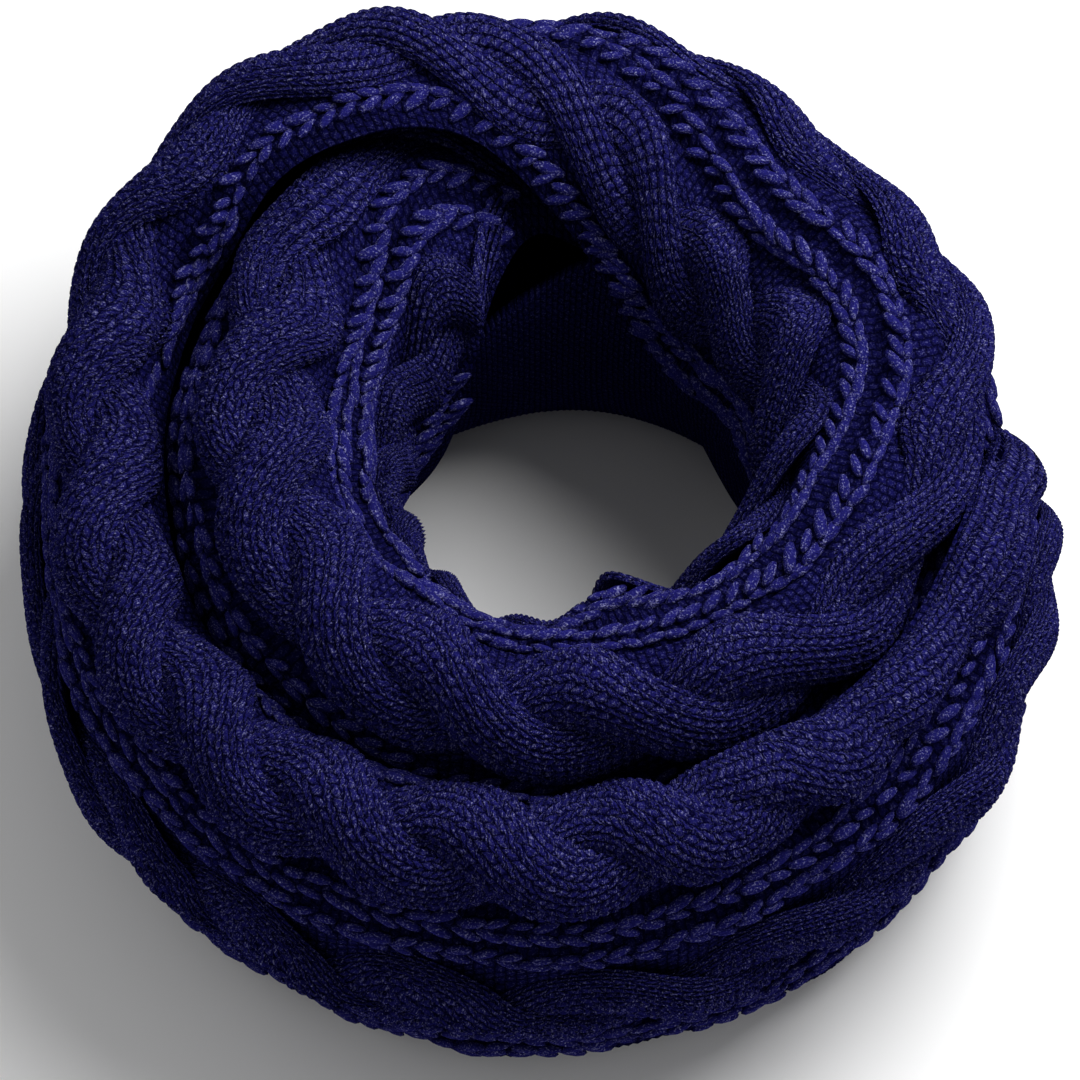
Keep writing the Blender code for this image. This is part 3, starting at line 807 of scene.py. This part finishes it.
def knitted_yarn(name, kind, light, dark, painted_glint):
    """Plied acrylic yarn: matt, with painted shade in the gaps between stitches and painted highlights on
    its palest fibres.
    """
    material = bpy.data.materials.new(name)
    material.use_nodes = True
    tree = material.node_tree
    tree.nodes.clear()
    place = add_node(tree, "ShaderNodeTexCoord")
    spun = (place, "Object")
    # The dye and the lie of the fibres vary slowly over the cloth.
    slow = {"Scale": 1000 / PATCH_SIZE, "Detail": 2.0}
    patches = add_node(tree, "ShaderNodeTexNoise", slow, {"Vector": spun})
    # Looseness of hand-drawn yarn: each stitch lies a little off its place.
    close = {"Scale": 1000 / LOOSE_SIZE, "Detail": 1.0}
    loose = add_node(tree, "ShaderNodeTexNoise", close, {"Vector": spun})
    off = add_node(tree, "ShaderNodeMath", {"operation": "SUBTRACT"}, {0: loose, 1: 0.5})
    off = add_node(tree, "ShaderNodeMath", {"operation": "MULTIPLY"}, {0: off, 1: LOOSENESS})
    stitches = add_node(tree, "ShaderNodeAttribute", {"attribute_name": "stitches"})
    split = add_node(tree, "ShaderNodeSeparateXYZ", None, {0: (stitches, "Vector")})
    wale = add_node(tree, "ShaderNodeMath", {"operation": "ADD"}, {0: (split, 0), 1: off})
    course = add_node(tree, "ShaderNodeMath", {"operation": "ADD"}, {0: (split, 1), 1: off})
    height = stitch_pattern(tree, kind, wale, course)
    # Fibres: streaks 0.3 mm wide that run along each leg of a stitch.
    across, onward = FIBRES_A_STITCH[kind]
    streak_x = add_node(tree, "ShaderNodeMath", {"operation": "MULTIPLY"}, {0: wale, 1: across})
    streak_y = add_node(tree, "ShaderNodeMath", {"operation": "MULTIPLY"}, {0: course, 1: onward})
    streak_place = add_node(tree, "ShaderNodeCombineXYZ", None, {"X": streak_x, "Y": streak_y})
    fibre = {"Scale": 1.0, "Detail": 2.0, "Roughness": 0.6}
    streaks = add_node(tree, "ShaderNodeTexNoise", fibre, {"Vector": streak_place})
    # Loose ends of fibre, 0.65 mm apart.
    fibre["Scale"] = 1000 / SPECK_SIZE
    specks = add_node(tree, "ShaderNodeTexNoise", fibre, {"Vector": spun})
    both = add_node(tree, "ShaderNodeMath", {"operation": "ADD"}, {0: streaks, 1: specks})
    fibres = add_node(tree, "ShaderNodeMath", {"operation": "MULTIPLY"}, {0: both, 1: 0.5})
    product = {"operation": "MULTIPLY_ADD"}
    held = {"operation": "MULTIPLY", "use_clamp": True}
    relief = add_node(tree, "ShaderNodeMath", product, {0: fibres, 1: FIBRE_RELIEF, 2: height})
    # Painted shade: the gaps between the stitches, and the ground that lies deep between the ridges, are
    # painted dark.
    shade = add_node(tree, "ShaderNodeMath", product, {0: fibres, 1: FIBRE_CONTRAST, 2: FIBRE_SHADE})
    shade = add_node(tree, "ShaderNodeMath", held, {0: height, 1: shade})
    # Painted shade: a low painted light share darkens the gutters, eyelets, strand feet and purl gaps
    # further.
    if kind != "leg":
        painted_light_share = add_node(tree, "ShaderNodeAttribute", {"attribute_name": "painted_light_share"})
        shade = add_node(tree, "ShaderNodeMath", held, {0: shade, 1: (painted_light_share, "Fac")})
    # The colour mixes from the painted shade colour to the lit colour.
    shaded = {"data_type": "RGBA", 6: srgb(dark), 7: srgb(light)}
    yarn = add_node(tree, "ShaderNodeMix", shaded, {"Factor": shade})
    # Painted highlight: only the palest fibres on the lit tops of stitches are painted towards the glint
    # colour.
    painted_highlight = add_node(tree, "ShaderNodeMath", {"operation": "SUBTRACT"}, {0: fibres, 1: PAINTED_GLINT_ABOVE})
    painted_highlight = add_node(tree, "ShaderNodeMath", held, {0: painted_highlight, 1: PAINTED_GLINT_GAIN})
    painted_highlight = add_node(tree, "ShaderNodeMath", {"operation": "MULTIPLY"}, {0: painted_highlight, 1: shade})
    painted_glint_mix = {"data_type": "RGBA", 7: srgb(painted_glint)}
    lit = add_node(tree, "ShaderNodeMix", painted_glint_mix, {"Factor": painted_highlight, 6: (yarn, 2)})
    spread, least = PATCH_VALUES
    value = add_node(tree, "ShaderNodeMath", product, {0: patches, 1: spread, 2: least})
    tint = add_node(tree, "ShaderNodeHueSaturation", None, {"Color": (lit, 2), "Value": value})
    relieved = {"Strength": 1.0, "Distance": BUMP_DEPTH * MM}
    bump = add_node(tree, "ShaderNodeBump", relieved, {"Height": relief})
    # Fuzzy yarn has no shine of its own.
    shader = add_node(
        tree,
        "ShaderNodeBsdfPrincipled",
        {"Roughness": 0.6, "Specular IOR Level": 0.0},
        {"Base Color": tint, "Normal": bump},
    )
    add_node(tree, "ShaderNodeOutputMaterial", None, {"Surface": shader})
    return material


def plain_material(name, colour, roughness):
    """An even, matt colour."""
    material = bpy.data.materials.new(name)
    material.use_nodes = True
    shader = material.node_tree.nodes["Principled BSDF"]
    shader.inputs["Base Color"].default_value = srgb(colour)
    shader.inputs["Roughness"].default_value = roughness
    return material


def area_light(name, place, size, power, aim):
    """A round soft light, turned to what it lights."""
    light = bpy.data.lights.new(name, "AREA")
    light.shape = "DISK"
    light.size = size
    light.energy = power
    lamp = bpy.data.objects.new(name, light)
    lamp.location = place
    direction = Vector(aim) - Vector(place)
    lamp.rotation_euler = direction.to_track_quat("-Z", "Y").to_euler()
    bpy.context.scene.collection.objects.link(lamp)


def make_scarf():
    """Every stretch of the band, each on its sheet, and the layers that they rest on."""
    # Each yarn gets its lit colour, its painted shade colour for the gaps and its painted highlight colour
    # for the palest fibres.
    yarn = knitted_yarn("navy_acrylic_yarn_plain_knit", "plain", "201f66", "010112", "9898c4")
    reverse_yarn = knitted_yarn("navy_acrylic_yarn_reverse_knit", "purl", "1c1b64", "04041c", "7c7cb4")
    rib_yarn = knitted_yarn("navy_acrylic_yarn_slip_stitch", "leg", "201f66", "010112", "9898c4")
    legs = rib_stitch_tree(rib_yarn)
    stretches = (
        ("inner_stretch", "inner_turn", BAND_SECTIONS[0][0], SPLITS[0], (0.20, 0.43)),
        ("top_stretch", "crossing_turn", SPLITS[0], SPLITS[1], (0.22, 0.31)),
        ("outer_stretch", "outer_turn", SPLITS[1], BAND_SECTIONS[-1][0], (0.19, 0.60)),
    )
    for node, name, first, last, flat in stretches:
        rows = rows_between(BAND_SECTIONS, first, last, GROUND_STEP)
        ground = ground_piece(name + "_ground", rows, reverse_yarn)
        rows = rows_between(BAND_SECTIONS, first, last, ROW_STEP)
        cables = cables_piece(name + "_cables", rows, yarn)
        ribs = ribs_piece(name + "_ribs", rows, legs)
        for piece in (ground, cables, ribs):
            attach(piece, "root")
        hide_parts(node)
    hole = hole_piece("inside_of_hole", reverse_yarn)
    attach(hole, "root")
    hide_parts("hole_stretch")
    layers = layers_piece("folded_layers", reverse_yarn)
    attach(layers, "root")
    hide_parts("hidden_layers")


def make_stage():
    """A pale table in a soft room, with a near light at the back right and a weak one at the left."""
    scene = bpy.context.scene
    scene.view_settings.view_transform = "Standard"
    floor_mesh = bpy.data.meshes.new("floor")
    half = FLOOR_HALF
    corners = [(-half, -half, 0), (half, -half, 0), (half, half, 0), (-half, half, 0)]
    floor_mesh.from_pydata(corners, [], [(0, 1, 2, 3)])
    floor_mesh.materials.append(plain_material("pale_floor", "f2f2f2", 0.9))
    floor = bpy.data.objects.new("floor", floor_mesh)
    scene.collection.objects.link(floor)
    world = bpy.data.worlds.new("soft_room")
    world.use_nodes = True
    background = world.node_tree.nodes["Background"]
    background.inputs["Color"].default_value = srgb("ffffff")
    background.inputs["Strength"].default_value = ROOM_LIGHT
    scene.world = world
    for name, place, size, power in LIGHTS:
        area_light(name, place, size, power, LIGHTS_AIM)


def make_camera():
    """The camera stands in front, 64 degrees above the table and 2 metres away."""
    aim = Vector((RING_SHIFT[0] * MM, RING_SHIFT[1] * MM, CAMERA_AIM_HEIGHT))
    elevation = math.radians(CAMERA_ELEVATION)
    back = Vector((0.0, -math.cos(elevation), math.sin(elevation)))
    camera_data = bpy.data.cameras.new("camera")
    camera_data.sensor_width = CAMERA_SENSOR
    camera_data.lens = CAMERA_LENS
    camera = bpy.data.objects.new("camera", camera_data)
    camera.location = aim + back * CAMERA_DISTANCE
    camera.rotation_mode = "QUATERNION"
    camera.rotation_quaternion = (-back).to_track_quat("-Z", "Y")
    bpy.context.scene.collection.objects.link(camera)
    bpy.context.scene.camera = camera


make_scarf()
make_stage()
make_camera()
